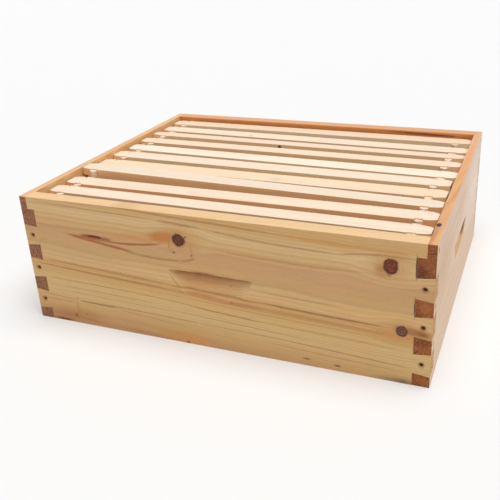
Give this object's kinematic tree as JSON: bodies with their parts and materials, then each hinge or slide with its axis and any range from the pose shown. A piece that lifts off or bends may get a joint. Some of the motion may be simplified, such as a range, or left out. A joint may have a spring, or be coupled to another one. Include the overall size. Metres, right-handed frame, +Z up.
{
  "type": "langstroth hive box",
  "caption": "Dovetailed wooden hive box of medium depth with scooped hand holds and a full set of hanging comb frames.",
  "frame": {"origin": "middle of the box's footprint, on the plane of its bottom rim", "axes": "+X along the long boards, to the right as seen from the front; +Y from the front board to the rear board; +Z up"},
  "size_m": [0.5048, 0.4128, 0.1691],
  "materials": {
    "long_boards": "planed conifer, unpainted",
    "end_boards": "planed conifer, unpainted, reddish heartwood",
    "nails": "plain wire nails, driven below the surface",
    "top_bars": "planed pale softwood",
    "end_bars": "planed pale softwood, grain upright",
    "bottom_bars": "planed pale softwood",
    "foundation": "beeswax coat over an embossed sheet"
  },
  "bodies": {
    "box": {"front_board": "long_boards", "rear_board": "long_boards", "left_end_board": "end_boards", "right_end_board": "end_boards", "tail_nails": "nails", "pin_nails": "nails"},
    "frame_01": {"frame_01_top_bar": "top_bars", "frame_01_left_end_bar": "end_bars", "frame_01_right_end_bar": "end_bars", "frame_01_bottom_bar": "bottom_bars", "frame_01_foundation": "foundation"},
    "frame_02": {"frame_02_top_bar": "top_bars", "frame_02_left_end_bar": "end_bars", "frame_02_right_end_bar": "end_bars", "frame_02_bottom_bar": "bottom_bars", "frame_02_foundation": "foundation"},
    "frame_03": {"frame_03_top_bar": "top_bars", "frame_03_left_end_bar": "end_bars", "frame_03_right_end_bar": "end_bars", "frame_03_bottom_bar": "bottom_bars", "frame_03_foundation": "foundation"},
    "frame_04": {"frame_04_top_bar": "top_bars", "frame_04_left_end_bar": "end_bars", "frame_04_right_end_bar": "end_bars", "frame_04_bottom_bar": "bottom_bars", "frame_04_foundation": "foundation"},
    "frame_05": {"frame_05_top_bar": "top_bars", "frame_05_left_end_bar": "end_bars", "frame_05_right_end_bar": "end_bars", "frame_05_bottom_bar": "bottom_bars", "frame_05_foundation": "foundation"},
    "frame_06": {"frame_06_top_bar": "top_bars", "frame_06_left_end_bar": "end_bars", "frame_06_right_end_bar": "end_bars", "frame_06_bottom_bar": "bottom_bars", "frame_06_foundation": "foundation"},
    "frame_07": {"frame_07_top_bar": "top_bars", "frame_07_left_end_bar": "end_bars", "frame_07_right_end_bar": "end_bars", "frame_07_bottom_bar": "bottom_bars", "frame_07_foundation": "foundation"},
    "frame_08": {"frame_08_top_bar": "top_bars", "frame_08_left_end_bar": "end_bars", "frame_08_right_end_bar": "end_bars", "frame_08_bottom_bar": "bottom_bars", "frame_08_foundation": "foundation"},
    "frame_09": {"frame_09_top_bar": "top_bars", "frame_09_left_end_bar": "end_bars", "frame_09_right_end_bar": "end_bars", "frame_09_bottom_bar": "bottom_bars", "frame_09_foundation": "foundation"},
    "frame_10": {"frame_10_top_bar": "top_bars", "frame_10_left_end_bar": "end_bars", "frame_10_right_end_bar": "end_bars", "frame_10_bottom_bar": "bottom_bars", "frame_10_foundation": "foundation"}
  },
  "joints": [
    {"name": "frame_01_lift", "type": "slide", "parent": "box", "child": "frame_01", "axis": [0, 0, 1], "range_m": [0, 0.18]},
    {"name": "frame_02_lift", "type": "slide", "parent": "box", "child": "frame_02", "axis": [0, 0, 1], "range_m": [0, 0.18]},
    {"name": "frame_03_lift", "type": "slide", "parent": "box", "child": "frame_03", "axis": [0, 0, 1], "range_m": [0, 0.18]},
    {"name": "frame_04_lift", "type": "slide", "parent": "box", "child": "frame_04", "axis": [0, 0, 1], "range_m": [0, 0.18]},
    {"name": "frame_05_lift", "type": "slide", "parent": "box", "child": "frame_05", "axis": [0, 0, 1], "range_m": [0, 0.18]},
    {"name": "frame_06_lift", "type": "slide", "parent": "box", "child": "frame_06", "axis": [0, 0, 1], "range_m": [0, 0.18]},
    {"name": "frame_07_lift", "type": "slide", "parent": "box", "child": "frame_07", "axis": [0, 0, 1], "range_m": [0, 0.18]},
    {"name": "frame_08_lift", "type": "slide", "parent": "box", "child": "frame_08", "axis": [0, 0, 1], "range_m": [0, 0.18]},
    {"name": "frame_09_lift", "type": "slide", "parent": "box", "child": "frame_09", "axis": [0, 0, 1], "range_m": [0, 0.18]},
    {"name": "frame_10_lift", "type": "slide", "parent": "box", "child": "frame_10", "axis": [0, 0, 1], "range_m": [0, 0.18]}
  ]
}
